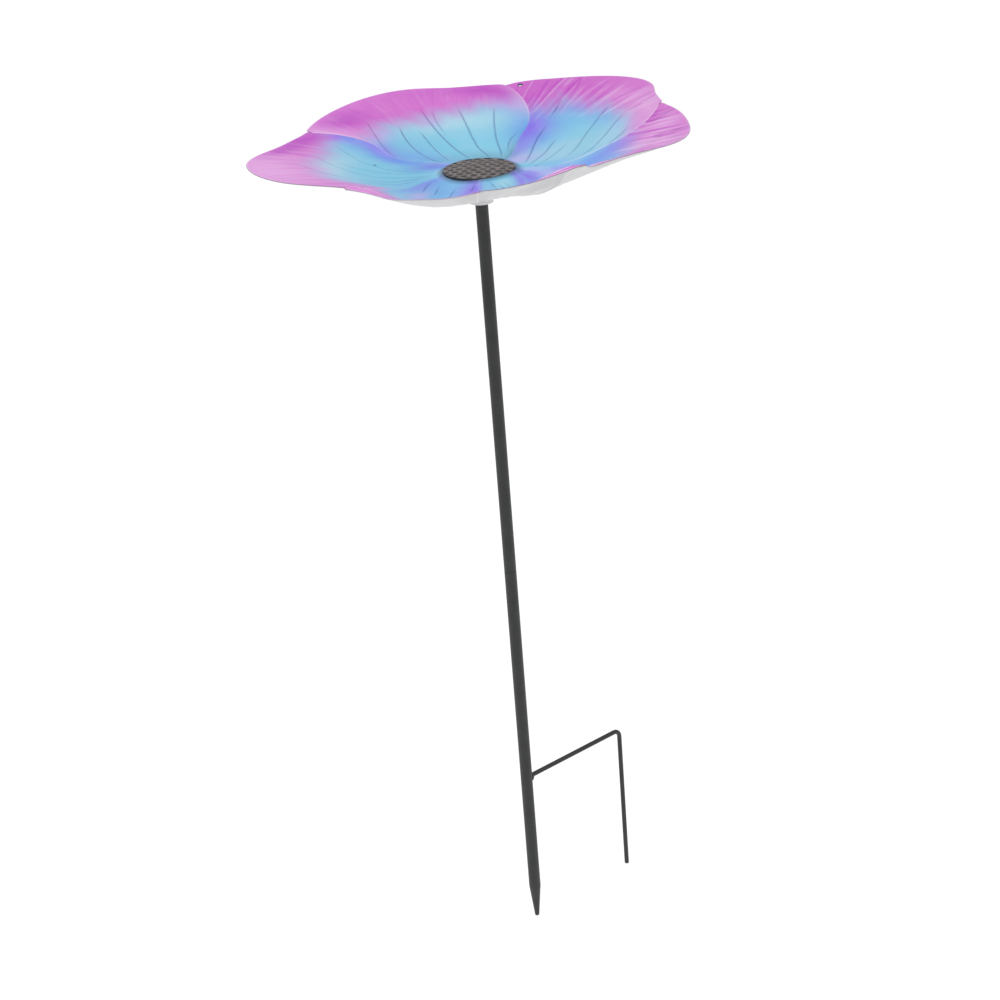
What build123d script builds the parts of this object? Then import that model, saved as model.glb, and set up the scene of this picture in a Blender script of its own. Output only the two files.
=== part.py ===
"""Flower-shaped bird feeder dish on a two-piece garden stake.

Millimetres, +Z up.  The origin is on the pole axis at the soil line, where the
underside of the step bar rests; the step bar's arm points along +X.
"""
from math import atan2, cos, degrees, exp, hypot, pi, radians, sin, sqrt
import os

from build123d import *

os.makedirs("parts", exist_ok=True)

# ---------------------------------------------------------------- stake sizes
tube_diameter = 12.7          # half-inch round tube
tube_wall = 1.0
lower_tube_above_soil = 252.0
lower_tube_in_soil = 174.0
point_length = 39.0           # pressed end
point_tip_diameter = 4.6
point_solid_length = 14.0     # tube fully closed over this length
upper_tube_length = 420.0
tube_edge_break = 0.25

spigot_reach = 32.0           # into each tube
spigot_clearance = 0.05       # radial, spigot in either tube
spigot_wall = 1.6
spigot_lead_in = 1.2
spigot_collar_height = 1.2
spigot_collar_step = 0.35     # collar is this much smaller than the tube

rod_diameter = 5.0
arm_reach = 139.8             # pole axis to leg axis
leg_length = 174.5            # arm axis to the cut end
rod_bend_radius = 8.0         # centre line
rod_end_chamfer = 0.6
weld_size = 3.2
weld_land = 0.6               # the weld bites this far into the tube's width

# ---------------------------------------------------------------- socket sizes
socket_diameter = 24.0
socket_height = 23.5          # collar that is seen under the dish
socket_bore_depth = 20.5
socket_clearance = 0.05       # radial, tube in socket
socket_shoulder = 3.0
socket_mouth_chamfer = 0.8
stub_diameter = 16.0          # glued into the dish's hub
stub_height = 3.0

# ---------------------------------------------------------------- dish sizes
dish_reach = 225.0            # from the pole axis to an average petal tip
rim_height = 32.0             # average rim above the disc's edge
dish_turn = -40.0             # how the flower is turned on the pole at rest
disc_diameter = 70.6
disc_height = 3.0             # above the floor around it
disc_crown = 1.5              # flat middle above the disc's edge
disc_crown_diameter = 32.0
disc_edge_break = 0.8
hub_diameter = 44.0           # flat pad under the dish
hub_depth = 7.5               # below the floor around the disc
hub_edge = 0.4                # the hub stands out this much where the petals meet it
wall = 2.0
petal_step_height = 1.5       # one petal level above the next
petal_lap = 6.0               # how far a lower petal runs under its neighbour
corner_round = 9.0
face_points = 10              # along and across each petal's surface
rim_points = 12               # spans of each rim
side_points_count = 6         # spans of each side
floor_radius = 44.0           # where the floor starts to rise
step_run_radius = 60.0        # the petals' levels part over this distance
throat_step = 0.35            # share of a level and of a cup left at the axis
bowl_rise = 1.9               # how early the bowl climbs to its rim; 1 is a plain power
rim_roll = 0.08               # share of a petal past its rim where the face levels off
cup_radius = 110.0            # where each petal is cupped the most
cup_spread = 60.0
hang_hole_diameter = 4.4
hang_hole_inset = 7.0         # from the petal's rim
drain_hole_diameter = 2.2
drain_hole_radius = 102.0
drain_hole_azimuth = 172.0

# seams between petals: azimuth at four stations out from the axis, then reach and
# height of the notch; stations, reaches and heights are shares of the sizes above
STATIONS = (0.18, 0.36, 0.58, 0.88)
SEAMS = {
    "right": ((5, -15, -3, 22), 0.905, 1.00),
    "back": ((49, 61, 65, 81), 0.86, 1.03),
    "back_left": ((126, 152, 144, 151), 0.875, 0.71),
    "left": ((195, 219, 226, 224), 0.79, 0.90),
    "front": ((267, 267, 268, 269), 0.78, 1.00),
    "front_right": ((334, 303, 296, 308), 0.80, 1.36),
}
# petals: seams, place of the tip between them, reach of first shoulder, tip and
# second shoulder, rim height, level, depth of the cup across the petal in mm, and
# fullness: the larger it is, the flatter the petal runs before it turns up
PETALS = {
    "right": ("front_right", "right", 0.50, 0.725, 0.897, 0.917, 0.93, -1, 5.2, 1.4),
    "back_right": ("right", "back", 0.28, 0.985, 1.045, 0.945, 1.0, 0, 2.0, 1.7),
    "back_left": ("back", "back_left", 0.42, 0.875, 0.947, 0.933, 1.0, 1, 1.9, 1.9),
    "left": ("back_left", "left", 0.51, 0.894, 0.996, 0.925, 0.92, 0, 2.6, 1.2),
    "front_left": ("left", "front", 0.62, 0.757, 0.868, 0.793, 0.97, -1, 4.4, 2.6),
    "front_right": ("front", "front_right", 0.46, 0.762, 0.760, 0.784, 0.90, 0, -3.6, 4.0),
}
SHOULDER_AT = 0.2             # shoulders sit this share in from each seam
notch_margin = 0.02           # the bowl's rim passes this share outside each notch

# ---------------------------------------------------------------- derived places
tube_radius = tube_diameter / 2
bore_radius = tube_radius - tube_wall
rod_radius = rod_diameter / 2
joint_z = lower_tube_above_soil
upper_tube_z = joint_z + spigot_collar_height
upper_tube_top = upper_tube_z + upper_tube_length
socket_z = upper_tube_top - socket_bore_depth
dish_seat_z = socket_z + socket_height
dish_floor = dish_seat_z + hub_depth
disc_top = dish_floor + disc_height
disc_radius = disc_diameter / 2
arm_z = rod_radius
blade_room = 2 * rim_height
seam_stations = [dish_reach * share for share in STATIONS]


# ---------------------------------------------------------------- petal form
def smooth(x, xs, ys, period=0.0):
    """Smooth curve through the stations xs, ys; wraps round when a period is given."""
    xs, ys = list(xs), list(ys)
    if period:
        xs = [v - period for v in xs[-2:]] + xs + [v + period for v in xs[:2]]
        ys = ys[-2:] + ys + ys[:2]
        x = (x - xs[2]) % period + xs[2]
    gaps = [b - a for a, b in zip(xs, xs[1:])]
    rises = [(b - a) / g for a, b, g in zip(ys, ys[1:], gaps)]
    slopes = [
        (r0 * g1 + r1 * g0) / (g0 + g1)
        for r0, r1, g0, g1 in zip(rises, rises[1:], gaps, gaps[1:])
    ]
    slopes = [1.5 * rises[0] - 0.5 * slopes[0]] + slopes + [1.5 * rises[-1] - 0.5 * slopes[-1]]
    i = 0
    while i < len(gaps) - 1 and x > xs[i + 1]:
        i += 1
    u = min(max((x - xs[i]) / gaps[i], -0.6), 1.6)
    return (
        (1 + 2 * u) * (1 - u) ** 2 * ys[i]
        + u * (1 - u) ** 2 * gaps[i] * slopes[i]
        + u * u * (3 - 2 * u) * ys[i + 1]
        + u * u * (u - 1) * gaps[i] * slopes[i + 1]
    )


def seam_azimuth(name, r):
    r = min(max(r, 0.75 * seam_stations[0]), seam_stations[-1])
    return smooth(r, seam_stations, SEAMS[name][0])


def petal_span(name, r):
    """Azimuths of a petal's two seams at radius r, the second always the larger."""
    first, second = (seam_azimuth(s, r) for s in PETALS[name][:2])
    return first, second + (360 if second < first else 0)


def neighbour(name, side):
    """The petal across one of the two seams."""
    seam = PETALS[name][side]
    return next(n for n, p in PETALS.items() if p[1 - side] == seam)


def is_upper(name, side):
    return PETALS[name][7] > PETALS[neighbour(name, side)][7]


def rim_table():
    """Azimuth, reach, height and fullness at every tip and notch, round the flower."""
    rows = []
    for name, petal in PETALS.items():
        first, second = petal_span(name, seam_stations[-1])
        rows.append(((first + (second - first) * petal[2]) % 360, petal[4], petal[6], petal[9]))
        notch = SEAMS[petal[0]]
        full = (petal[9] + PETALS[neighbour(name, 0)][9]) / 2
        rows.append((first % 360, notch[1] + notch_margin, notch[2], full))
    return sorted(rows)


RIM = rim_table()


def bowl(r, azimuth):
    """Height of the common bowl over its floor."""
    azimuths = [row[0] for row in RIM]
    reach, height, full = (
        smooth(azimuth % 360, azimuths, [row[i] for row in RIM], 360) for i in (1, 2, 3)
    )
    t = max((r - floor_radius) / (reach * dish_reach - floor_radius), 0)
    if t > 1:                 # levels off past the rim
        t = 1 + rim_roll * (1 - exp((1 - t) / rim_roll))
    return (height * rim_height + disc_height) * t**full * (bowl_rise - (bowl_rise - 1) * t)


def petal_height(name, r, azimuth):
    """Height of a petal's upper face over the bowl floor."""
    first, second = petal_span(name, r)
    middle = (first + second) / 2
    t = 0.5 + ((azimuth - middle + 180) % 360 - 180) / (second - first)
    level, cup = PETALS[name][7:9]
    lift = 1 - (1 - throat_step) * exp(-((r / step_run_radius) ** 2))
    across = sin(pi * min(max(t, 0), 1)) ** 2
    hollow = cup * lift * across * exp(-(((r - cup_radius) / cup_spread) ** 2))
    return bowl(r, azimuth) + level * petal_step_height * lift - hollow


def petal_width(name):
    first, second = petal_span(name, seam_stations[-1])
    return radians(second - first) * seam_stations[-1]


def rim_radius(name, t):
    """Rim radius across a petal; the corners that lie on top are rounded."""
    seam_a, seam_b, tip_at, shoulder_a, tip, shoulder_b = PETALS[name][:6]
    r = dish_reach * smooth(
        t,
        (0, SHOULDER_AT, tip_at, 1 - SHOULDER_AT, 1),
        (SEAMS[seam_a][1], shoulder_a, tip, shoulder_b, SEAMS[seam_b][1]),
    )
    for side, along in ((0, t), (1, 1 - t)):
        if is_upper(name, side):
            q = max(corner_round - along * petal_width(name), 0)
            r -= corner_round - sqrt(corner_round**2 - q**2)
    return r


def at(r, azimuth, z=0.0):
    a = radians(azimuth + dish_turn)
    return Vector(r * cos(a), r * sin(a), z)


def on_petal(name, r, t, z=0.0):
    first, second = petal_span(name, r)
    return at(r, first + (second - first) * t, z)


def side_points(name, side):
    """Plan of one side of a petal, from the hub out; a lower petal runs under its neighbour."""
    upper = is_upper(name, side)
    lap = 0 if upper else petal_lap * (1 if side else -1)
    inner = 0.8 * disc_radius
    corner = rim_radius(name, side) - (0 if upper else wall)
    points = []
    for i in range(side_points_count + 1):
        r = inner + (corner - inner) * i / side_points_count
        points.append(at(r, petal_span(name, r)[side] + degrees(lap / r)))
    return points


def petal_outline(name):
    """Plan of a petal: its two sides and the rim between them."""
    side_a, side_b = side_points(name, 0), side_points(name, 1)
    rim = [
        on_petal(name, rim_radius(name, t), t)
        for t in [(1 - cos(pi * i / rim_points)) / 2 for i in range(rim_points + 1)]
    ]
    if not is_upper(name, 0):
        rim = [side_a[-1]] + rim
    if not is_upper(name, 1):
        rim = rim + [side_b[-1]]
    return side_a, rim, side_b


def petal_face(name, outline):
    """Upper face of a petal, through a square grid of points that lies along the petal."""
    heading = sum(petal_span(name, seam_stations[1])) / 2 + dish_turn
    turned = [point.rotate(Axis.Z, -heading) for point in outline]
    xs, ys = [p.X for p in turned], [p.Y for p in turned]
    margin = corner_round
    grid = []
    for i in range(face_points):
        x = min(xs) - margin + (max(xs) - min(xs) + 2 * margin) * i / (face_points - 1)
        row = []
        for j in range(face_points):
            y = min(ys) - margin + (max(ys) - min(ys) + 2 * margin) * j / (face_points - 1)
            azimuth = degrees(atan2(y, x)) + heading - dish_turn
            z = dish_floor + petal_height(name, hypot(x, y), azimuth)
            row.append(Vector(x, y, z).rotate(Axis.Z, heading))
        grid.append(row)
    return Face.make_surface_from_array_of_points(grid)


def petal_blade(name):
    """One petal: its outline stood up as a prism, kept where it meets its curved wall."""
    side_a, rim, side_b = petal_outline(name)
    face = petal_face(name, side_a + rim + side_b)
    with BuildPart(mode=Mode.PRIVATE) as blade:
        with BuildSketch(Plane.XY.offset(dish_floor - 5 * wall)):
            with BuildLine():
                Spline(*side_a)
                Spline(*rim)
                Spline(*side_b)
                Line(side_a[0], side_b[0])
            make_face()
        extrude(amount=5 * wall + blade_room)
        extrude(face, amount=wall, dir=(0, 0, -1), mode=Mode.INTERSECT)
    return blade.part


# ---------------------------------------------------------------- flower dish
blades = [petal_blade(name) for name in PETALS]
hang_hole_t = (corner_round + hang_hole_inset) / petal_width("back_right")


with BuildPart() as flower_dish:
    with BuildSketch(Plane.XZ):
        with BuildLine():
            Polyline(
                (0, dish_seat_z + stub_height),
                (stub_diameter / 2, dish_seat_z + stub_height),
                (stub_diameter / 2, dish_seat_z),
                (hub_diameter / 2, dish_seat_z),
                (disc_radius, dish_floor - wall - hub_edge),
                (disc_radius, disc_top - disc_edge_break),
                (disc_radius - disc_edge_break, disc_top),
                (disc_crown_diameter / 2, disc_top + disc_crown),
                (0, disc_top + disc_crown),
                close=True,
            )
        make_face()
    revolve(axis=Axis.Z)
    for blade in blades:
        add(blade)
    # hanging hole beside the back notch, square to the rim below it
    hole_r = rim_radius("back_right", 1 - hang_hole_t) - hang_hole_inset
    hole_at = on_petal("back_right", hole_r, 1 - hang_hole_t, dish_floor)
    with BuildSketch(Plane.XY.offset(dish_floor)):
        with Locations((hole_at.X, hole_at.Y)):
            Circle(hang_hole_diameter / 2)
    extrude(amount=blade_room, mode=Mode.SUBTRACT)
    # drain hole in the left petal
    drain_at = at(drain_hole_radius, drain_hole_azimuth)
    with BuildSketch(Plane.XY.offset(dish_floor - 5 * wall)):
        with Locations((drain_at.X, drain_at.Y)):
            Circle(drain_hole_diameter / 2)
    extrude(amount=blade_room, mode=Mode.SUBTRACT)
flower_dish.part.label = "flower_dish"

# ---------------------------------------------------------------- pole socket
with BuildPart() as pole_socket:
    with BuildSketch(Plane.XY.offset(socket_z)):
        Circle(socket_diameter / 2)
    extrude(amount=socket_height)
    top_edge = pole_socket.edges().filter_by(GeomType.CIRCLE).sort_by(Axis.Z)[-1]
    chamfer(top_edge, length=socket_shoulder)
    with BuildSketch(Plane.XY.offset(dish_seat_z - 1)):
        Circle(stub_diameter / 2)
    extrude(amount=1 + stub_height)
    with BuildSketch(Plane.XY.offset(socket_z)):
        Circle(tube_radius + socket_clearance)
    extrude(amount=socket_bore_depth, mode=Mode.SUBTRACT)
    mouth = pole_socket.faces().sort_by(Axis.Z)[0].edges().sort_by(SortBy.LENGTH)[0]
    chamfer(mouth, length=socket_mouth_chamfer)
pole_socket.part.label = "pole_socket"

# ---------------------------------------------------------------- upper pole
with BuildPart() as upper_pole:
    with BuildSketch(Plane.XY.offset(upper_tube_z)):
        Circle(tube_radius)
        Circle(bore_radius, mode=Mode.SUBTRACT)
    extrude(amount=upper_tube_length)
    chamfer(upper_pole.edges().filter_by(GeomType.CIRCLE), length=tube_edge_break)
upper_pole.part.label = "upper_pole"

# ---------------------------------------------------------------- joint spigot
spigot_radius = bore_radius - spigot_clearance
with BuildPart() as joint_spigot:
    with BuildSketch(Plane.XY.offset(joint_z - spigot_reach)):
        Circle(spigot_radius)
    extrude(amount=2 * spigot_reach + spigot_collar_height)
    ends = joint_spigot.edges().filter_by(GeomType.CIRCLE)
    chamfer(ends, length=spigot_lead_in, length2=spigot_lead_in * 0.6)
    with BuildSketch(Plane.XY.offset(joint_z)):
        Circle(tube_radius - spigot_collar_step)
    extrude(amount=spigot_collar_height)
    with BuildSketch(Plane.XY.offset(joint_z - spigot_reach)):
        Circle(spigot_radius - spigot_wall)
    extrude(amount=2 * spigot_reach + spigot_collar_height, mode=Mode.SUBTRACT)
joint_spigot.part.label = "joint_spigot"

# ---------------------------------------------------------------- lower pole
point_z = -lower_tube_in_soil
point_shoulder = point_z + point_length
tip_radius = point_tip_diameter / 2
with BuildPart() as lower_pole:
    # outside: straight tube drawn down to a blunt rounded point
    with BuildSketch(Plane.XZ):
        with BuildLine():
            Polyline(
                (0, joint_z),
                (tube_radius - tube_edge_break, joint_z),
                (tube_radius, joint_z - tube_edge_break),
                (tube_radius, point_shoulder),
            )
            Line((tube_radius, point_shoulder), (tip_radius, point_z))
            Line((tip_radius, point_z), (0, point_z))
            Line((0, point_z), (0, joint_z))
        make_face()
    revolve(axis=Axis.Z)
    fillet(lower_pole.edges().filter_by(GeomType.CIRCLE).sort_by(Axis.Z)[0], tip_radius * 0.8)
    # inside: bore that closes where the point is pressed solid
    with BuildSketch(Plane.XZ):
        with BuildLine():
            Polyline(
                (0, joint_z),
                (bore_radius, joint_z),
                (bore_radius, point_shoulder),
                (0, point_z + point_solid_length),
                close=True,
            )
        make_face()
    revolve(axis=Axis.Z, mode=Mode.SUBTRACT)
lower_pole.part.label = "lower_pole"

# ---------------------------------------------------------------- step bar
with BuildPart() as step_bar:
    with BuildLine() as rod_path:
        FilletPolyline(
            (0, 0, arm_z), (arm_reach, 0, arm_z), (arm_reach, 0, arm_z - leg_length),
            radius=rod_bend_radius,
        )
    with BuildSketch(Plane((0, 0, arm_z), z_dir=(1, 0, 0))):
        Circle(rod_radius)
    sweep()
    chamfer(step_bar.faces().sort_by(Axis.Z)[0].edges(), length=rod_end_chamfer)
    # the arm's end is cut to sit on the tube
    with BuildSketch(Plane.XY.offset(arm_z - rod_diameter)):
        Circle(tube_radius)
    extrude(amount=2 * rod_diameter, mode=Mode.SUBTRACT)
step_bar.part.label = "step_bar"

# ---------------------------------------------------------------- weld
with BuildPart() as step_bar_weld:
    with BuildSketch(Plane.XZ):
        with BuildLine():
            Polyline(
                (0, arm_z),
                (0, arm_z + rod_radius + weld_size),
                (tube_radius - weld_land, arm_z + rod_radius + weld_size),
                (tube_radius + weld_size, arm_z + rod_radius),
                (tube_radius + weld_size, arm_z),
                close=True,
            )
        make_face()
    revolve(axis=Axis((0, 0, arm_z), (1, 0, 0)))
    with BuildSketch(Plane.XY.offset(arm_z - 2 * rod_diameter)):
        Circle(tube_radius)
    extrude(amount=4 * rod_diameter, mode=Mode.SUBTRACT)
    with BuildSketch(Plane.YZ):
        with Locations((0, arm_z)):
            Circle(rod_radius)
    extrude(amount=tube_radius + 2 * weld_size, mode=Mode.SUBTRACT)
    # only the side the arm stands on
    split(bisect_by=Plane.YZ, keep=Keep.TOP)
step_bar_weld.part.label = "step_bar_weld"

export_step(flower_dish.part, "parts/flower_dish.step")
export_step(pole_socket.part, "parts/pole_socket.step")
export_step(upper_pole.part, "parts/upper_pole.step")
export_step(joint_spigot.part, "parts/joint_spigot.step")
export_step(lower_pole.part, "parts/lower_pole.step")
export_step(step_bar.part, "parts/step_bar.step")
export_step(step_bar_weld.part, "parts/step_bar_weld.step")
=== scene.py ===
"""Looks of the flower-shaped bird feeder dish on its two-piece garden stake."""
from collections import namedtuple

import bpy
import numpy as np
from mathutils import Matrix, Vector


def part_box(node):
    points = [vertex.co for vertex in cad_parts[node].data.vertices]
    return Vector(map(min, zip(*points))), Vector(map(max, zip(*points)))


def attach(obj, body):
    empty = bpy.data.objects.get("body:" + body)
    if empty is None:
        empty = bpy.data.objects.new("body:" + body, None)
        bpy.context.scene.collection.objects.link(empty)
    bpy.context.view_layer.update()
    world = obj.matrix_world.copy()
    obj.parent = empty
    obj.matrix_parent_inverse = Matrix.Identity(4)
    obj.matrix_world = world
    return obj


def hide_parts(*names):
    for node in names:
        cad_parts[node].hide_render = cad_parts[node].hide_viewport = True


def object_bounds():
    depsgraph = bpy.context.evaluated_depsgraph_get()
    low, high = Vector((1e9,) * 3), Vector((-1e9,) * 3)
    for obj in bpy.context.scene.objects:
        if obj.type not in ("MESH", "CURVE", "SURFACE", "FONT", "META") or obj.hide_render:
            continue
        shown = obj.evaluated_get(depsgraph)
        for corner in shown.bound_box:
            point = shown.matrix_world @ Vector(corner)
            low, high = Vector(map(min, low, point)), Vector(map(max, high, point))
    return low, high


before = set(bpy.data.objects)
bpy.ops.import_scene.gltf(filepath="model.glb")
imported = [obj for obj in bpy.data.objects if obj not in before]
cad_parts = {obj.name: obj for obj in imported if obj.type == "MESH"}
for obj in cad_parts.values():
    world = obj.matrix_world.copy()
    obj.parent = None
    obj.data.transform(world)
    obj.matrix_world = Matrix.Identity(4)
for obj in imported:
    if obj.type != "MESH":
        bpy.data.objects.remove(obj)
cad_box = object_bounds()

MM = 0.001

# ------------------------------------------------------------------ dish sizes, mm and degrees
DISH_REACH = 225.0            # petals' reaches are shares of it
RIM_HEIGHT = 32.0             # rims' heights over the disc are shares of it
DISH_TURN = -40.0             # from +X to the flower's own azimuth 0
DISC_RADIUS = 35.3
DISC_HEIGHT = 3.0
DISC_DOME = 1.4
HUB_RADIUS = 22.0
HUB_DEPTH = 7.5
WALL = 2.0
RIM_WALL = 1.2                # the wall thins out to this at the rims
PETAL_STEP = 1.5              # between a petal and the one that it lies on
PETAL_LAP = 6.0               # that a lower petal reaches in under its neighbour
CORNER_ROUND = 9.0
TIGHT_CORNERS = {("front_right", 1): 2.5}         # petal and side of a corner that is less round
FLOOR_RADIUS = 44.0           # the bowl begins to rise here
STEP_RUN = 60.0               # over which the step between petals comes to its full size
THROAT_STEP = 0.35            # share of the step that is there at the middle
BOWL_RISE = 1.9               # 1 is a plain power curve; more lifts the middle of the bowl
RIM_ROLL = 0.08               # share of the bowl over which its rise dies out past the rim
NOTCH_MARGIN = 0.02
CUP_RADIUS = 110.0            # petals are hollowed most here
CUP_SPREAD = 60.0
HANG_HOLE = 4.4
HANG_HOLE_INSET = 7.0
DRAIN_HOLE = 2.2
DRAIN_RADIUS = 102.0
DRAIN_AZIMUTH = 172.0
FULL_TURN = 360

# seams between petals: azimuth at the stations, then reach and height of the notch as shares
STATIONS = np.array((0.18, 0.36, 0.58, 0.88)) * DISH_REACH
Seam = namedtuple("Seam", "azimuths reach height")
SEAMS = {
    "right": Seam((5, -15, -3, 22), 0.905, 1.00),
    "back": Seam((49, 61, 65, 81), 0.86, 1.03),
    "back_left": Seam((126, 152, 144, 151), 0.875, 0.71),
    "left": Seam((195, 219, 226, 224), 0.79, 0.90),
    "front": Seam((267, 267, 268, 269), 0.78, 1.00),
    "front_right": Seam((334, 303, 296, 308), 0.80, 1.36),
}
SEAM_HOLDS = 0.75             # share of the first station, inside which a seam runs straight in

# petals: seams at either side, place of the tip across the petal, reaches of one shoulder, the
# tip and the other shoulder, height of the rim, level in steps, cup in mm, fullness of the bowl
Petal = namedtuple("Petal", "start end tip_at shoulder_a tip shoulder_b height level cup fullness")
PETALS = {
    "right": Petal("front_right", "right", 0.50, 0.725, 0.897, 0.917, 0.93, -1, 5.2, 1.4),
    "back_right": Petal("right", "back", 0.28, 0.985, 1.045, 0.945, 1.0, 0, 2.0, 1.7),
    "back_left": Petal("back", "back_left", 0.42, 0.875, 0.947, 0.933, 1.0, 1, 1.9, 1.9),
    "left": Petal("back_left", "left", 0.51, 0.894, 0.996, 0.925, 0.92, 0, 2.6, 1.2),
    "front_left": Petal("left", "front", 0.62, 0.757, 0.868, 0.793, 0.97, -1, 4.4, 2.6),
    "front_right": Petal("front", "front_right", 0.46, 0.762, 0.760, 0.784, 0.90, 0, -3.6, 4.0),
}
SHOULDER_AT = 0.2             # place of the shoulders across the petal, in from each side
OVERRUN = 0.6                 # gaps by which a smooth curve may be followed past its ends

dish_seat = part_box("flower_dish")[0].z / MM
dish_floor = dish_seat + HUB_DEPTH


# ------------------------------------------------------------------ dish shape
def smooth(x, xs, ys, period=0.0):
    """Smooth curve through the stations xs, ys; wraps round when a period is given."""
    xs, ys = list(xs), list(ys)
    x = np.asarray(x, float)
    if period:
        xs = [v - period for v in xs[-2:]] + xs + [v + period for v in xs[:2]]
        ys = ys[-2:] + ys + ys[:2]
        x = (x - xs[2]) % period + xs[2]
    xs, ys = np.array(xs, float), np.array(ys, float)
    gaps = np.diff(xs)
    rises = np.diff(ys) / gaps
    slopes = (rises[:-1] * gaps[1:] + rises[1:] * gaps[:-1]) / (gaps[:-1] + gaps[1:])
    # at both ends the bend fades out
    first = (3 * rises[0] - slopes[0]) / 2
    last = (3 * rises[-1] - slopes[-1]) / 2
    slopes = np.concatenate(([first], slopes, [last]))
    i = np.clip(np.searchsorted(xs, x, side="left") - 1, 0, len(gaps) - 1)
    u = np.clip((x - xs[i]) / gaps[i], -OVERRUN, 1 + OVERRUN)
    return (
        (1 + 2 * u) * (1 - u) ** 2 * ys[i]
        + u * (1 - u) ** 2 * gaps[i] * slopes[i]
        + u * u * (3 - 2 * u) * ys[i + 1]
        + u * u * (u - 1) * gaps[i] * slopes[i + 1]
    )


def step(x, low, high):
    """Rises smoothly from 0 at low to 1 at high."""
    t = np.clip((x - low) / (high - low), 0, 1)
    return t * t * (3 - 2 * t)


def bell(x):
    """1 at 0, falling off to both sides."""
    return np.exp(-(x**2))


def signed(angle):
    """The same angle between -180 and 180 degrees."""
    return (angle + FULL_TURN / 2) % FULL_TURN - FULL_TURN / 2


def seam_azimuth(name, r):
    """Azimuth of a seam at a radius."""
    r = np.clip(r, SEAM_HOLDS * STATIONS[0], STATIONS[-1])
    return smooth(r, STATIONS, SEAMS[name].azimuths)


def petal_span(name, r):
    """Azimuths of a petal's two sides at a radius, the second one the larger."""
    first, second = (seam_azimuth(s, r) for s in (PETALS[name].start, PETALS[name].end))
    return first, second + np.where(second < first, FULL_TURN, 0)


def neighbour(name, side):
    """The petal beyond side 0 (start) or 1 (end)."""
    seam = PETALS[name][side]
    return next(n for n, p in PETALS.items() if p[1 - side] == seam)


def is_upper(name, side):
    """Whether the petal lies on its neighbour at that side."""
    return PETALS[name].level > PETALS[neighbour(name, side)].level


def rim_table():
    """Azimuth, reach, height and fullness of the bowl at the petals' tips and notches."""
    rows = []
    for name, petal in PETALS.items():
        first, second = (float(a) for a in petal_span(name, STATIONS[-1]))
        tip_azimuth = (first + (second - first) * petal.tip_at) % FULL_TURN
        rows.append((tip_azimuth, petal.tip, petal.height, petal.fullness))
        notch = SEAMS[petal.start]
        full = (petal.fullness + PETALS[neighbour(name, 0)].fullness) / 2
        rows.append((first % FULL_TURN, notch.reach + NOTCH_MARGIN, notch.height, full))
    return sorted(rows)


RIM = rim_table()


def bowl(r, azimuth):
    """Height of the common bowl over its floor."""
    azimuths = [row[0] for row in RIM]
    reach, height, full = (
        smooth(azimuth % FULL_TURN, azimuths, [row[i] for row in RIM], FULL_TURN)
        for i in (1, 2, 3)
    )
    t = np.maximum((r - FLOOR_RADIUS) / (reach * DISH_REACH - FLOOR_RADIUS), 0)
    past = np.maximum(t - 1, 0)
    t = np.minimum(t, 1) + RIM_ROLL * (1 - np.exp(-past / RIM_ROLL))
    return (height * RIM_HEIGHT + DISC_HEIGHT) * t**full * (BOWL_RISE - (BOWL_RISE - 1) * t)


def step_share(r):
    """Share of the full step between neighbours, smaller near the disc."""
    return 1 - (1 - THROAT_STEP) * bell(r / STEP_RUN)


def petal_height(name, r, azimuth):
    """Height of a petal's upper face over the bowl floor."""
    first, second = petal_span(name, r)
    middle = (first + second) / 2
    t = 0.5 + signed(azimuth - middle) / (second - first)
    share = step_share(r)
    across = np.sin(np.pi * np.clip(t, 0, 1)) ** 2
    hollow = PETALS[name].cup * share * across * bell((r - CUP_RADIUS) / CUP_SPREAD)
    return bowl(r, azimuth) + PETALS[name].level * PETAL_STEP * share - hollow


def petal_width(name):
    """Length of the arc across a petal at the last station, mm."""
    first, second = petal_span(name, STATIONS[-1])
    return float(np.radians(second - first) * STATIONS[-1])


def rim_radius(name, t):
    """Radius of a petal's rim at a place across it, with its upper corners rounded."""
    petal = PETALS[name]
    t = np.clip(t, 0, 1)
    places = (0, SHOULDER_AT, petal.tip_at, 1 - SHOULDER_AT, 1)
    reaches = (
        SEAMS[petal.start].reach, petal.shoulder_a, petal.tip, petal.shoulder_b,
        SEAMS[petal.end].reach,
    )
    r = DISH_REACH * smooth(t, places, reaches)
    for side, along in ((0, t), (1, 1 - t)):
        if is_upper(name, side):
            corner = TIGHT_CORNERS.get((name, side), CORNER_ROUND)
            q = np.maximum(corner - along * petal_width(name), 0)
            r = r - (corner - np.sqrt(corner**2 - q**2))
    return r


# ------------------------------------------------------------------ mesh helpers
def new_object(name, vertices, faces, materials, masks=None, face_materials=None):
    """A smooth-shaded mesh object from millimetre vertices, with float masks on its points."""
    mesh = bpy.data.meshes.new(name)
    mesh.from_pydata((np.asarray(vertices) * MM).tolist(), [], faces)
    for material in materials:
        mesh.materials.append(material)
    mesh.polygons.foreach_set("use_smooth", [True] * len(mesh.polygons))
    if face_materials is not None:
        mesh.polygons.foreach_set("material_index", face_materials)
    for key, values in (masks or {}).items():
        mesh.attributes.new(key, "FLOAT", "POINT").data.foreach_set("value", values)
    mesh.update()
    obj = bpy.data.objects.new(name, mesh)
    bpy.context.scene.collection.objects.link(obj)
    return obj


def grid_faces(rows, columns, start=0, flip=False, wrap=False):
    """Quads over a grid of points numbered row by row."""
    last = columns if wrap else columns - 1
    i, j = np.meshgrid(np.arange(rows - 1), np.arange(last), indexing="ij")
    k = (j + 1) % columns
    corners = (i * columns + j, i * columns + k, (i + 1) * columns + k, (i + 1) * columns + j)
    quads = np.stack([start + c.reshape(-1) for c in corners], axis=1)
    return (quads[:, ::-1] if flip else quads).tolist()


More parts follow.
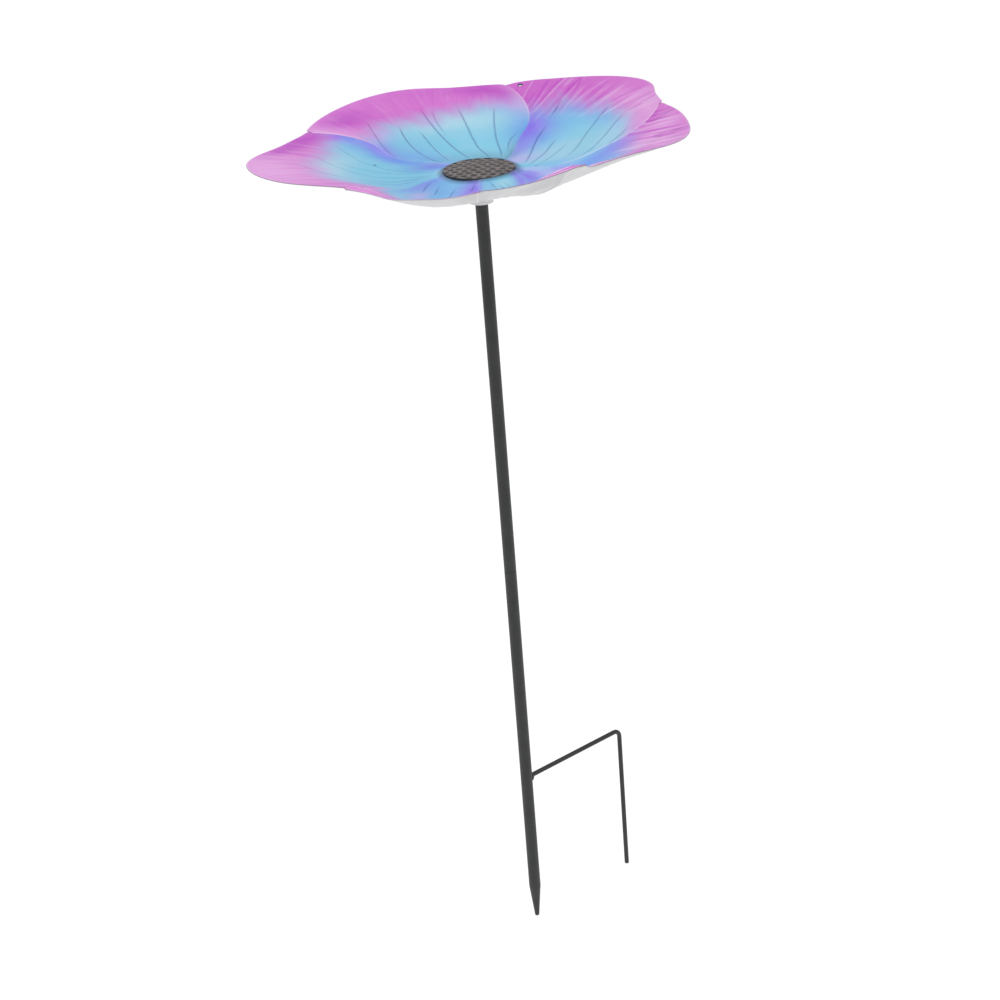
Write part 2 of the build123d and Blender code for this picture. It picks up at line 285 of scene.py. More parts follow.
def grid_ring(rows, columns, start=0):
    """The points round the outside of a grid, in order."""
    ring = (
        [i * columns for i in range(rows)]
        + [(rows - 1) * columns + j for j in range(1, columns)]
        + [i * columns + columns - 1 for i in range(rows - 2, -1, -1)]
        + list(range(columns - 2, 0, -1))
    )
    return [start + i for i in ring]


def stitch(fine, coarse):
    """Triangles between a ring of points and one with half as many."""
    faces = []
    count = len(coarse)
    for i in range(count):
        a, middle, b = fine[2 * i], fine[2 * i + 1], fine[(2 * i + 2) % (2 * count)]
        c, d = coarse[i], coarse[(i + 1) % count]
        faces += [(a, middle, c), (middle, d, c), (middle, b, d)]
    return faces


def join_rider(obj):
    """Shows the piece in place of the plain dish; it rides on the dish."""
    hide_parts("flower_dish")
    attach(obj, "dish")


# ------------------------------------------------------------------ materials
# the petals' ground colour, then the paints laid over it in this order, each with its own mask
# of these the pale lip is painted highlight, the dark rim line is painted shade, and the vein and
# halo paints are partly painted shade
CYAN = (122, 201, 229)
PAINTS = (
    ("pale", (174, 217, 234)), ("blue", (96, 154, 236)), ("purple", (140, 106, 236)),
    ("lilac", (184, 176, 234)), ("pink", (213, 108, 207)), ("blush", (229, 166, 228)),
    ("magenta", (184, 42, 192)), ("vein", (62, 100, 164)), ("pale_highlight", (240, 226, 246)),
    ("halo_and_shade", (46, 60, 96)), ("edge", (136, 92, 140)),
)
MOTTLE_COLOUR, MOTTLE_MOST = (236, 220, 240), 0.07


def new_material(name, **sockets):
    """A node material; sockets are set on its principled shader."""
    material = bpy.data.materials.new(name)
    material.use_nodes = True
    shader = material.node_tree.nodes["Principled BSDF"]
    for key, value in sockets.items():
        shader.inputs[key.replace("_", " ")].default_value = value
    return material, material.node_tree, shader


def srgb(red, green, blue):
    """Linear colour of an 8-bit display colour."""
    c = np.array((red, green, blue)) / 255
    linear = np.where(c <= 0.04045, c / 12.92, ((c + 0.055) / 1.055) ** 2.4)
    return (*linear.tolist(), 1.0)


def add_node(tree, kind, **inputs):
    """A node with constants set on its inputs."""
    node = tree.nodes.new(kind)
    for key, value in inputs.items():
        node.inputs[key.replace("_", " ")].default_value = value
    return node


def noise(tree, scale, detail=3.0, roughness=0.5):
    """Noise texture in object space; scale is in features per metre."""
    where = add_node(tree, "ShaderNodeTexCoord")
    texture = add_node(tree, "ShaderNodeTexNoise", Scale=scale, Detail=detail, Roughness=roughness)
    tree.links.new(where.outputs["Object"], texture.inputs["Vector"])
    return texture.outputs["Fac"]


def ramp(tree, value, stops):
    """Colour ramp over a value; stops are (place, colour) pairs."""
    node = tree.nodes.new("ShaderNodeValToRGB")
    while len(node.color_ramp.elements) < len(stops):
        node.color_ramp.elements.new(1.0)
    for element, (place, colour) in zip(node.color_ramp.elements, stops):
        element.position, element.color = place, colour
    tree.links.new(value, node.inputs["Fac"])
    return node.outputs["Color"]


def mix(tree, factor, a, b):
    """Colour a blended to colour b by a factor; each may be a socket or a constant."""
    node = tree.nodes.new("ShaderNodeMix")
    node.data_type = "RGBA"
    for key, value in ((0, factor), (6, a), (7, b)):
        if isinstance(value, bpy.types.NodeSocket):
            tree.links.new(value, node.inputs[key])
        else:
            node.inputs[key].default_value = value
    return node.outputs[2]


def mask(tree, key):
    """A float attribute of the mesh's points."""
    node = tree.nodes.new("ShaderNodeAttribute")
    node.attribute_name = key
    return node.outputs["Fac"]


def bump(tree, shader, height, strength, distance):
    """Fine grain on a shader's normal; distance is in metres."""
    node = add_node(tree, "ShaderNodeBump", Strength=strength, Distance=distance)
    tree.links.new(height, node.inputs["Height"])
    tree.links.new(node.outputs["Normal"], shader.inputs["Normal"])


def petal_paint():
    """Airbrushed resin: cyan throat, blue and purple along the folds, partly painted shade from
    the petal above, pink towards the rim.
    """
    material, tree, shader = new_material(
        "petal_paint", Roughness=0.45, Coat_Weight=0.05, Coat_Roughness=0.22,
        Specular_IOR_Level=0.25,
    )
    colour = srgb(*CYAN)
    for key, tint in PAINTS:
        colour = mix(tree, mask(tree, key), colour, srgb(*tint))
    most = (MOTTLE_MOST,) * 3 + (1,)
    mottle = ramp(tree, noise(tree, 55.0, 4.0), ((0.4, (0, 0, 0, 1)), (0.75, most)))
    colour = mix(tree, mottle, colour, srgb(*MOTTLE_COLOUR))
    tree.links.new(colour, shader.inputs["Base Color"])
    bump(tree, shader, noise(tree, 420.0), 0.08, 0.0004)
    return material


def white_resin():
    """Unpainted underside of the dish."""
    material, tree, shader = new_material("white_resin", Roughness=0.42)
    stops = ((0.3, srgb(232, 232, 235)), (0.7, srgb(242, 242, 244)))
    colour = ramp(tree, noise(tree, 30.0), stops)
    tree.links.new(colour, shader.inputs["Base Color"])
    bump(tree, shader, noise(tree, 260.0), 0.1, 0.0004)
    return material


def disc_paint():
    """Dark seed disc: brown-grey net with near-black pits."""
    material, tree, shader = new_material("disc_paint", Roughness=0.5)
    net = ramp(tree, noise(tree, 220.0), ((0.3, srgb(92, 86, 86)), (0.75, srgb(132, 123, 122))))
    colour = mix(tree, mask(tree, "pit"), net, srgb(14, 14, 18))
    tree.links.new(colour, shader.inputs["Base Color"])
    bump(tree, shader, noise(tree, 600.0), 0.2, 0.0003)
    return material


def stake_paint():
    """Charcoal satin powder coat."""
    material, tree, shader = new_material("stake_paint", Roughness=0.48)
    colour = ramp(tree, noise(tree, 60.0), ((0.35, srgb(36, 37, 38)), (0.7, srgb(46, 47, 48))))
    tree.links.new(colour, shader.inputs["Base Color"])
    bump(tree, shader, noise(tree, 900.0), 0.25, 0.0003)
    return material


# ------------------------------------------------------------------ petal relief and paint
# where the pink begins, as a share of the way from disc to rim, at places across the petal
PINK_EDGE = {
    "back_left": ((0, 0.86), (0.12, 0.79), (0.25, 0.71), (0.5, 0.62), (0.75, 0.66), (1, 0.66)),
    "back_right": ((0, 0.71), (0.2, 0.71), (0.3, 0.68), (0.5, 0.68), (0.7, 0.75), (1, 0.72)),
    "left": (
        (0, 0.92), (0.1, 0.80), (0.2, 0.73), (0.4, 0.655), (0.6, 0.67), (0.75, 0.70), (1, 0.64),
    ),
    "right": ((0, 0.60), (0.5, 0.66), (0.8, 0.69), (1, 0.66)),
    "front_left": ((0, 0.75), (0.3, 0.85), (1, 0.74)),
    "front_right": ((0, 0.86), (0.5, 0.88), (0.8, 0.84), (1, 0.80)),
}
PINK_SOFT = 0.13              # half the width over which cyan turns to pink
WAVES = ((0.012, 23, 1), (0.010, 61, 2))          # its edge's waves: size, pace and shift
# airbrushed patches: colour, place across, place out, their spreads, strength; the blue, purple
# and magenta ones beside a side that runs in under a neighbour are airbrush colour together with
# painted shade from that neighbour
AIRBRUSH = {
    "back_left": (
        ("magenta", 0.13, 0.92, 0.12, 0.12, 0.80), ("magenta", 0.82, 0.87, 0.13, 0.11, 0.80),
        ("blush", 0.0, 0.90, 0.05, 0.14, 0.7), ("halo_and_shade", 0.3, 0.05, 0.5, 0.10, 0.30),
        ("lilac", 0.55, 0.58, 0.05, 0.05, 0.6),
        ("magenta", 0.35, 0.93, 0.25, 0.07, 0.20), ("blue", 0.00, 0.50, 0.12, 0.22, 0.75),
        ("blue", 0.88, 0.24, 0.18, 0.18, 0.55), ("purple", 1.0, 0.46, 0.10, 0.16, 0.75),
        ("pale", 0.42, 0.56, 0.34, 0.12, 0.85), ("lilac", 0.90, 0.60, 0.12, 0.08, 0.7),
        ("lilac", 0.05, 0.75, 0.15, 0.11, 1.0), ("blush", 1.0, 0.87, 0.10, 0.16, 0.95),
        ("halo_and_shade", 0.0, 0.16, 0.06, 0.16, 0.35), ("halo_and_shade", 0.90, 0.10, 0.12, 0.09, 0.12),
    ),
    "back_right": (
        ("purple", 0.98, 0.50, 0.14, 0.24, 0.9), ("blue", 0.95, 0.40, 0.22, 0.30, 0.8),
        ("lilac", 0.72, 0.06, 0.28, 0.13, 0.9), ("purple", 0.92, 0.22, 0.10, 0.12, 0.45),
        ("magenta", 0.75, 0.90, 0.22, 0.12, 0.30), ("magenta", 0.97, 0.82, 0.12, 0.12, 0.25),
        ("blue", 0.45, 0.60, 0.28, 0.08, 0.45), ("purple", 0.66, 0.70, 0.20, 0.06, 0.4),
        ("lilac", 0.10, 0.72, 0.14, 0.08, 0.8), ("pale", 0.14, 0.52, 0.12, 0.16, 0.6),
        ("pale", 0.45, 0.24, 0.35, 0.16, 0.5), ("blue", 0.02, 0.20, 0.12, 0.2, 0.35),
        ("blush", 0.10, 0.92, 0.18, 0.20, 0.85), ("blush", 0.30, 0.80, 0.12, 0.08, 0.45),
        ("pale", 0.30, 0.60, 0.10, 0.10, 0.6), ("halo_and_shade", 0.98, 0.11, 0.10, 0.10, 0.20),
    ),
    "left": (
        ("magenta", 0.10, 0.94, 0.17, 0.10, 0.9), ("magenta", 0.27, 0.93, 0.10, 0.08, 0.7),
        ("purple", 0.02, 0.82, 0.06, 0.07, 0.85), ("blue", 0.02, 0.72, 0.05, 0.05, 0.8),
        ("purple", 0.00, 0.55, 0.08, 0.22, 0.75), ("blue", 0.04, 0.34, 0.12, 0.34, 0.9),
        ("blue", 0.24, 0.08, 0.24, 0.14, 0.85), ("lilac", 0.0, 0.08, 0.08, 0.10, 0.5),
        ("pale", 0.50, 0.58, 0.25, 0.10, 0.8), ("blue", 0.95, 0.25, 0.16, 0.3, 0.25),
        ("blush", 0.65, 0.90, 0.32, 0.22, 0.85), ("blush", 0.45, 0.98, 0.12, 0.10, 0.4),
        ("purple", 0.18, 0.09, 0.18, 0.10, 0.40), ("halo_and_shade", 0.20, 0.10, 0.20, 0.10, 0.10),
    ),
    "right": (
        ("purple", 0.90, 0.60, 0.14, 0.13, 0.55), ("purple", 0.62, 0.10, 0.14, 0.10, 0.8),
        ("blue", 0.78, 0.46, 0.20, 0.20, 0.95),
        ("purple", 0.25, 0.12, 0.38, 0.15, 0.9), ("purple", 0.15, 0.42, 0.32, 0.25, 0.9),
        ("purple", 0.85, 0.27, 0.12, 0.07, 0.6), ("blush", 0.78, 0.80, 0.08, 0.10, 0.9),
        ("lilac", 0.70, 0.24, 0.16, 0.10, 0.6), ("lilac", 0.92, 0.08, 0.16, 0.10, 0.6),
        ("blush", 0.38, 0.88, 0.38, 0.22, 0.95), ("purple", 0.35, 0.60, 0.2, 0.1, 0.4),
        ("magenta", 1.0, 0.84, 0.06, 0.10, 0.3), ("blush", 0.86, 0.87, 0.12, 0.09, 0.35),
        ("purple", 0.96, 0.68, 0.12, 0.10, 0.50),
    ),
    "front_left": (
        ("purple", 0.95, 0.26, 0.24, 0.40, 1.0), ("purple", 0.0, 0.28, 0.20, 0.30, 0.5),
        ("blue", 0.45, 0.20, 0.40, 0.25, 0.45), ("blue", 0.0, 0.1, 0.4, 0.3, 0.6),
        ("blush", 0.1, 0.95, 0.3, 0.2, 0.4), ("lilac", 0.25, 0.48, 0.09, 0.15, 0.85),
    ),
    "front_right": (
        ("purple", 0.0, 0.22, 0.11, 0.34, 0.85), ("blue", 0.25, 0.20, 0.12, 0.20, 0.3),
        ("purple", 0.90, 0.20, 0.14, 0.50, 0.85), ("pale", 0.5, 0.15, 0.2, 0.1, 0.6),
        ("blush", 0.6, 0.95, 0.2, 0.12, 0.4),
    ),
}
# veins pressed into the petals: strength, half width in mm, then radius and azimuth along it
VEINS = {
    "back_left": (
        (0.9, 0.85, ((92, 151), (116, 143), (141, 136), (166, 131))),
        (1.0, 0.9, ((48, 131), (60, 135), (79, 133), (99, 130), (123, 126), (143, 122.5))),
        (0.9, 0.85, ((48, 124), (60, 122), (78, 120), (99, 118), (126, 116.5))),
        (1.0, 0.85, ((44, 98), (55, 102), (78, 106), (105, 108), (131, 109), (163, 109.3))),
        (0.6, 0.85, ((112, 105.5), (128, 106.3), (158, 106))),
        (0.9, 0.85, ((42, 73), (50, 78), (67, 87), (93, 92), (119, 94), (152, 96))),
        (0.9, 0.85, ((44, 58), (64, 69), (84, 76), (106, 79.5), (145, 82))),
        (0.6, 1.2, ((62, 61), (72, 64.5), (86, 67), (100, 66))),
    ),
    "back_right": (
        (1.3, 0.9, ((142, 57), (158, 58.3), (175, 59))),
        (1.0, 0.85, ((46, 18), (60, 34), (75, 44), (96, 51.5), (124, 55))),
        (0.9, 0.85, ((44, 2), (60, 20), (75, 29), (88, 36), (104, 41))),
        (0.8, 0.85, ((46, -14), (58, 0), (74, 14), (99, 28))),
        (0.9, 0.9, ((80, -6), (92, 5), (106, 18), (123, 28), (145, 35), (180, 41))),
        (0.9, 0.9, ((94, -14), (106, -6), (120, 6), (135, 16), (168, 28))),
        (0.8, 0.9, ((110, -16), (124, -6), (138, 3), (152, 11))),
    ),
    "left": (
        (0.6, 0.85, ((44, 167), (66, 175), (93, 177), (108, 172), (130, 163), (154, 155))),
        (0.6, 0.9, ((46, 184), (60, 192), (83, 197), (115, 195), (134, 186), (160, 172))),
        (0.6, 0.975, ((50, 192), (70, 201), (100, 208), (130, 205), (150, 198), (172, 187))),
        (0.5, 0.9, ((52, 176), (80, 187), (105, 186), (140, 176))),
        (0.5, 0.9, ((56, 198), (90, 213), (120, 214), (150, 208))),
    ),
    "right": (
        (1.1, 0.85, ((166, -6), (180, -4), (208, -2))),
        (1.1, 0.85, ((162, -9), (175, -7), (205, -4))),
        (1.0, 0.85, ((160, -12.5), (182, -11), (202, -9))),
        (1.0, 0.85, ((156, -18), (180, -16), (200, -13.5))),
        (0.9, 0.85, ((150, -24), (176, -21), (196, -18))),
        (0.3, 2.25, ((168, 8), (187, 12), (208, 16))),
    ),
    "front_left": (
        (0.8, 0.9, ((52, 222), (60, 228), (78, 236))),
        (0.8, 0.9, ((50, 207), (60, 215), (82, 229))),
        (0.9, 1.2, ((40, 263), (50, 263), (64, 262))),
        (0.7, 0.85, ((50, 243), (64, 246), (90, 248))),
    ),
    "front_right": (
        (0.9, 0.9, ((42, 283), (54, 283), (68, 283))),
        (0.8, 0.85, ((56, 288), (68, 287.5), (84, 287))),
        (0.6, 0.85, ((50, 296), (70, 294), (90, 293))),
    ),
}
# fine ridges in the pink: how many, from and to across, how proud in mm, random seed
RIDGES = {
    "back_left": (34, 0.02, 0.98, 0.16, 11), "back_right": (40, 0.04, 0.92, 0.60, 12),
    "left": (40, 0.15, 0.95, 0.34, 13), "right": (44, 0.12, 0.95, 0.75, 14),
    "front_left": (24, 0.05, 0.95, 0.25, 15), "front_right": (24, 0.05, 0.95, 0.25, 16),
}
# turned-out stretches of rim: azimuth, half length in degrees, width of the turned lip in mm
FLARES = ((297, 12.0, 10.0), (312, 7.0, 4.5), (230, 6.0, 9.0))
# thin lines painted along a rim: colour, from and to across, mm in, half width, strength; the pale
# lip lines are painted highlight
RIM_LINES = {
    "right": (("pale_highlight", -0.15, 0.24, 2.2, 2.4, 0.85),),
    "front_right": (
        ("pale_highlight", 0.20, 1.0, 9.0, 1.3, 0.85), ("blush", 0.30, 0.95, 1.5, 2.5, 0.9),
        ("magenta", 0.55, 1.05, 7.5, 2.2, 0.7), ("pale_highlight", -0.05, 0.60, 0.5, 0.7, 0.95),
    ),
    "front_left": (
        ("magenta", 0.22, 0.80, 2.2, 1.0, 0.75), ("pale_highlight", 0.20, 1.05, 0.5, 0.6, 0.9),
        ("pale_highlight", 0.0, 0.5, 9.0, 0.9, 0.4),
    ),
}
# where out along a petal's upper sides their painted highlight fades in
SIDE_HIGHLIGHT = (0.55, 0.85)
SIDE_HIGHLIGHTS = {"back_right": (0.2, 0.45)}
# strength of the painted shade, a dark line round the very rim
RIM_SHADE_STRENGTH = {
    "back_left": 0.8, "back_right": 0.8, "left": 0.85, "right": 0.7, "front_left": 0.35,
    "front_right": 0.95,
}
EDGE_HALF = 0.45              # mm, half width of the painted shade round the rim
RIM_HIGHLIGHT, RIM_HIGHLIGHT_HALF = 0.45, 1.2                 # strength and half width of the painted highlight along all rims
# painted highlight along the upper sides: least strength, gain out along the petal, half width in
# mm
SIDE_HIGHLIGHT_LEAST, SIDE_HIGHLIGHT_GAIN, SIDE_HIGHLIGHT_HALF = 0.05, 0.5, 1.8
LINE_FADE = 0.08              # share of the width over which a line along the rim begins
LINE_SWELL, LINE_PACE = 0.3, 47                   # its width's waves
DISC_HALO, HALO_FROM, HALO_TO = 0.85, 1, 9        # dark round the disc: strength, mm from its edge
VEIN_DEPTH = 0.7              # mm at strength 1
VEIN_LEAD, VEIN_TAIL, VEIN_FADE = 6, 10, 22       # mm before and past its points, and to fade
VEIN_SHARP = 1.2              # the painted line is a little narrower than the groove
VEIN_PAINT, VEIN_MOST, PINK_HIDES = 0.75, 0.85, 0.8      # strengths of the dark vein paint, which is partly painted shade in the grooves, and share lost in the pink
PINK_SHADE = 0.34             # painted shade: veins in the pink are darkened with the halo's colour
SUNK_VEIN, SUNK_RIDGE, SUNK_MOST = 0.9, 1.1, 0.7  # magenta gathered in what is pressed into the pink, together with painted shade there
RIDGE_HIGHLIGHT = 0.6               # painted highlight on what is raised
# a raised shoulder beside each vein: place, half width and height, in the vein's own
SHOULDER_OFF, SHOULDER_HALF, SHOULDER_HEIGHT = 2.3, 1.3, 0.15
# ridges at random: share of their spacing that they stray, ranges of where they start and stop
# as shares of the way from disc to rim, of half width in mm and of size; lean in degrees
RIDGE_STRAY = 0.35
RIDGE_STARTS, RIDGE_STOPS, RIDGE_FADE = (0.52, 0.72), (0.90, 1.08), 0.12
RIDGE_HALVES, RIDGE_SIZES = (0.9, 1.9), (0.4, 1.0)
SUNK_OR_RAISED = (-1.0, 0.8)
RIDGE_LEAN, LEAN_MIDDLE = 6.0, 0.8
FLARE_SHARE = 0.85            # share of the bowl's rise that a turned-out rim takes away
FLARE_END = 2.5               # widths in from the rim where it has come back


def window(x, low, high, soft):
    """1 between low and high, with soft ends that lie inside them."""
    return step(x, low, low + soft) * (1 - step(x, high - soft, high))


def vein_relief(name, r, azimuth):
    """Depth pressed in along the veins, and how dark they are painted, partly as painted shade."""
    relief, dark = 0 * r, 0 * r
    for strength, width, points in VEINS[name]:
        radii, azimuths = zip(*points)
        line, ahead = (
            smooth(np.clip(r + reach, radii[0], radii[-1]), radii, azimuths) for reach in (0, 1)
        )
        slant = np.radians(ahead - line) * r
        away = np.radians(signed(azimuth - line)) * r / np.sqrt(1 + slant**2)
        along = window(r, radii[0] - VEIN_LEAD, radii[-1] + VEIN_TAIL, VEIN_FADE)
        groove = along * bell(away / width)
        shoulder = along * bell((away / width + SHOULDER_OFF) / SHOULDER_HALF)
        relief += VEIN_DEPTH * strength * (SHOULDER_HEIGHT * shoulder - groove)
        dark = np.maximum(dark, min(strength, 1.0) * groove**VEIN_SHARP)
    return relief, dark


def ridge_relief(name, r, azimuth, u):
    """Fine raised and sunk lines that run out to the rim."""
    count, low, high, proud, seed = RIDGES[name]
    dice = np.random.default_rng(seed)
    first, second = petal_span(name, STATIONS[-1])
    relief = 0 * r
    for at_t in np.linspace(low, high, count) + dice.normal(0, RIDGE_STRAY / count, count):
        start, stop = dice.uniform(*RIDGE_STARTS), dice.uniform(*RIDGE_STOPS)
        lean, half = dice.normal(0, RIDGE_LEAN), dice.uniform(*RIDGE_HALVES)
        line_azimuth = first + (second - first) * at_t + lean * (u - LEAN_MIDDLE)
        away = np.radians(azimuth - line_azimuth) * r
        line = bell(away / half) * window(u, start, stop, RIDGE_FADE)
        relief += proud * dice.choice(SUNK_OR_RAISED) * dice.uniform(*RIDGE_SIZES) * line
    return relief


def flare(azimuth, gap):
    """Distance in from the rim, held back where the rim is turned out flat."""
    held = gap
    for at_azimuth, half, width in FLARES:
        flat = gap * (1 - FLARE_SHARE * bell(signed(azimuth - at_azimuth) / half))
        back = step(gap, width, FLARE_END * width)
        held = np.minimum(held, flat * (1 - back) + gap * back)
    return held


# ------------------------------------------------------------------ dish
ROWS, COLUMNS = 173, 261      # points out along and across each petal, both odd
PAINT, RESIN = 0, 1           # a petal's material slots
THROAT_RISE, THROAT_RUN = 2.2, 9.0                # mm that a petal climbs to the disc's edge
THROAT_EDGE = 1.2             # mm inside the disc's edge over which it falls again
SEAM_RISE, CLIMB_RUN = 0.7, 8.0                   # mm that a lower petal climbs to the one on it
SEAM_SINK, SEAM_RUN = 0.9, 4.0                    # mm that the upper petal sinks there, and over
LAP_RISE = 1.4                # steps by which the underside rises in under the upper petal
LAP_SHARE = 0.6               # share of the lap over which it does
RIM_TRIM = 0.3                # mm that all rims are held back from the CAD's
BEAD = 0.12                   # mm that the bead along rims and upper sides stands proud
BEAD_AT, BEAD_HALF, BEAD_RUN = 1.6, 1.2, (0.5, 3)
RELIEF_RUN = (0.3, 3.0)       # mm in from the edges where veins and ridges begin
CREASE = 0.35                 # mm that the underside's creases are deep
CREASE_PLACES = (0.15, 1.05, 0.2)                 # from and to on the way out, and fade
CREASE_RUN = (1, 15)          # mm in from the rim where they begin
THIN_RUN = 20.0               # mm over which the wall thins out to the rim
TOP_MARGIN = 0.1              # mm that the dish stays under the CAD's top
LEAST_WALL = 0.02             # mm, at the very rim
INNER_SHARE = 0.8             # share of the disc's radius where the petals begin under it
SIDE_BLEND = 0.02             # share of the width over which a rim changes to its lap's
RIM_GAPS = (2.4, 1.4, 0.8, 0.4, 0.12, 0.0)        # mm in from the rim, last rows
SIDE_PLACES = (0.0, 0.0008, 0.0025, 0.005, 0.01)  # share of the width in from each side
SIDE_NEXT = 0.016             # where the even columns begin
FAR = 1e3                     # mm, where there is no bare side
dish_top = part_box("flower_dish")[1].z / MM

Grid = namedtuple("Grid", "r azimuth t u rim_gap side_gap covered")


def side_gaps(name, r, t):
    """Distances in mm from the sides that lie on top, and in under the neighbours."""
    first, second = petal_span(name, r)
    width = np.radians(second - first) * r
    bare, covered = FAR + 0 * r, 0 * r
    for side, along in ((0, t), (1, 1 - t)):
        if is_upper(name, side):
            bare = np.minimum(bare, np.maximum(along, 0) * width)
        else:
            covered = np.maximum(covered, CLIMB_RUN - along * width)
    return bare, covered


def petal_grid(name):
    """Points over one petal: place across (t) and out (u), distances from rim and sides."""
    upper = [is_upper(name, side) for side in (0, 1)]
    lap = [0 if on_top else PETAL_LAP for on_top in upper]
    corner = np.array([
        float(rim_radius(name, side)) - (0 if upper[side] else WALL) for side in (0, 1)
    ])
    edge_first, edge_second = petal_span(name, corner)
    a = edge_first[0] - np.degrees(lap[0] / corner[0])
    b = edge_second[1] + np.degrees(lap[1] / corner[1])
    inside = np.linspace(SIDE_NEXT, 1 - SIDE_NEXT, COLUMNS - 2 * len(SIDE_PLACES))
    v = np.concatenate((SIDE_PLACES, inside, 1 - np.array(SIDE_PLACES[::-1])))[None, :]
    rim_t = (a + (b - a) * v - edge_first[0]) / (edge_second[1] - edge_first[0])
    under = sum(
        step(past, 0, SIDE_BLEND) * width / PETAL_LAP
        for past, width in zip((-rim_t, rim_t - 1), lap)
    )
    reach = rim_radius(name, rim_t) - WALL * under - RIM_TRIM
    inner = INNER_SHARE * DISC_RADIUS
    main = np.linspace(0, 1, ROWS - len(RIM_GAPS), endpoint=False)[:, None]
    r = np.concatenate((
        inner + (reach - RIM_GAPS[0] - inner) * main,
        reach - np.array(RIM_GAPS)[:, None],
    ))
    first, second = petal_span(name, r)
    left = first - np.degrees(lap[0] / r)
    right = second + np.degrees(lap[1] / r)
    azimuth = left + (right - left) * v
    t = (azimuth - first) / (second - first)
    u = np.clip((r - DISC_RADIUS) / (reach - DISC_RADIUS), 0, 1)
    return Grid(r, azimuth, t, u, reach - r, *side_gaps(name, r, t))


def place(r, azimuth, z):
    """Points in the frame, mm, from the flower's own radius and azimuth."""
    a = np.radians(azimuth + DISH_TURN)
    return np.stack((r * np.cos(a), r * np.sin(a), z + 0 * r), axis=-1)


def round_over(gap, radius):
    """How far a rounded edge has dropped at a distance in from it."""
    q = np.clip(radius - gap, 0, radius)
    return radius - np.sqrt(radius**2 - q**2)


def petal_masks(name, grid, ridges, dark):
    """Paint masks over a petal, by the names of the paints."""
    r, _, t, u, rim_gap, side_gap, _ = grid
    masks = {key: 0 * r for key, _ in PAINTS}
    places, edges = zip(*PINK_EDGE[name])
    wobble = sum(size * np.sin(pace * t + shift * len(name)) for size, pace, shift in WAVES)
    begins = np.interp(t, places, edges) + wobble
    pink = masks["pink"] = step(u, begins - PINK_SOFT, begins + PINK_SOFT)
    # painted shade: magenta darkens what is pressed into the pink
    sunk_shade = np.clip(SUNK_VEIN * dark + SUNK_RIDGE * np.clip(-ridges, 0, 1), 0, SUNK_MOST) * pink
    sprayed = [
        (key, strength * bell((t - at_t) / spread_t) * bell((u - at_u) / spread_u))
        for key, at_t, at_u, spread_t, spread_u, strength in AIRBRUSH[name]
    ]
    for key, spot in sprayed + [("magenta", sunk_shade)]:
        masks[key] = masks[key] + spot * (1 - masks[key])
    # vein paint: blue gathered in the grooves together with painted shade there
    masks["vein"] = np.clip(VEIN_PAINT * dark * (1 - PINK_HIDES * pink), 0, VEIN_MOST)
    # painted shade: a dark line round the very rim
    masks["edge"] = RIM_SHADE_STRENGTH[name] * bell(rim_gap / EDGE_HALF)
    side_highlight = SIDE_HIGHLIGHT_LEAST + SIDE_HIGHLIGHT_GAIN * step(u, *SIDE_HIGHLIGHTS.get(name, SIDE_HIGHLIGHT))
    # painted highlight along rims, upper sides and raised ridges; painted shade in the pink veins;
    # dark halo round the disc
    lines = [
        ("pale_highlight", RIM_HIGHLIGHT * bell(rim_gap / RIM_HIGHLIGHT_HALF)),
        ("pale_highlight", side_highlight * bell(side_gap / SIDE_HIGHLIGHT_HALF)),
        ("pale_highlight", np.clip(RIDGE_HIGHLIGHT * ridges, 0, 1)),
        ("halo_and_shade", PINK_SHADE * dark * pink**2),
        ("halo_and_shade", DISC_HALO * step(DISC_RADIUS - r, -HALO_TO, HALO_FROM)),
    ]
    wave = 1 + LINE_SWELL * np.sin(LINE_PACE * t)
    for key, low, high, at_gap, half, strength in RIM_LINES.get(name, ()):
        across = bell((rim_gap - at_gap) / (half * wave))
        lines.append((key, strength * window(t, low, high, LINE_FADE) * across))
    for key, line in lines:
        masks[key] = np.maximum(masks[key], line)
    return masks


def petal_heights(name, grid, relief):
    """Heights of a petal's painted face and of its underside, mm."""
    r, azimuth, t, u, rim_gap, side_gap, covered = grid
    level_r = r + rim_gap - flare(azimuth, rim_gap)
    height = dish_floor + petal_height(name, level_r, azimuth)
    off_disc = r - DISC_RADIUS
    climb = THROAT_RISE * step(-off_disc, -THROAT_RUN, 0) * step(off_disc, -THROAT_EDGE, 0)
    gap = np.minimum(rim_gap, side_gap)
    bead = BEAD * bell((gap - BEAD_AT) / BEAD_HALF) * step(rim_gap, *BEAD_RUN)
    rim_drop = round_over(rim_gap, RIM_WALL / 2)
    side_drop = SEAM_SINK * step_share(r) * np.clip(1 - side_gap / SEAM_RUN, 0, 1) ** 2
    top = height + climb + relief * step(gap, *RELIEF_RUN) + bead
    top = top - np.maximum(rim_drop, side_drop)
    top = top + SEAM_RISE * step(covered, 0, CLIMB_RUN) * step_share(r)
    top = np.minimum(top, dish_top - TOP_MARGIN)
    thick = RIM_WALL + (WALL - RIM_WALL) * step(rim_gap, 0, THIN_RUN)
    lap_rise = LAP_RISE * PETAL_STEP * step(covered, CLIMB_RUN, CLIMB_RUN + LAP_SHARE * PETAL_LAP)
    creases = CREASE * np.sin(31 * t + 5 * u) * np.sin(13 * t + 2) * window(u, *CREASE_PLACES)
    bottom = height - thick + rim_drop + lap_rise + creases * step(rim_gap, *CREASE_RUN)
    return top, np.minimum(bottom, top - LEAST_WALL)


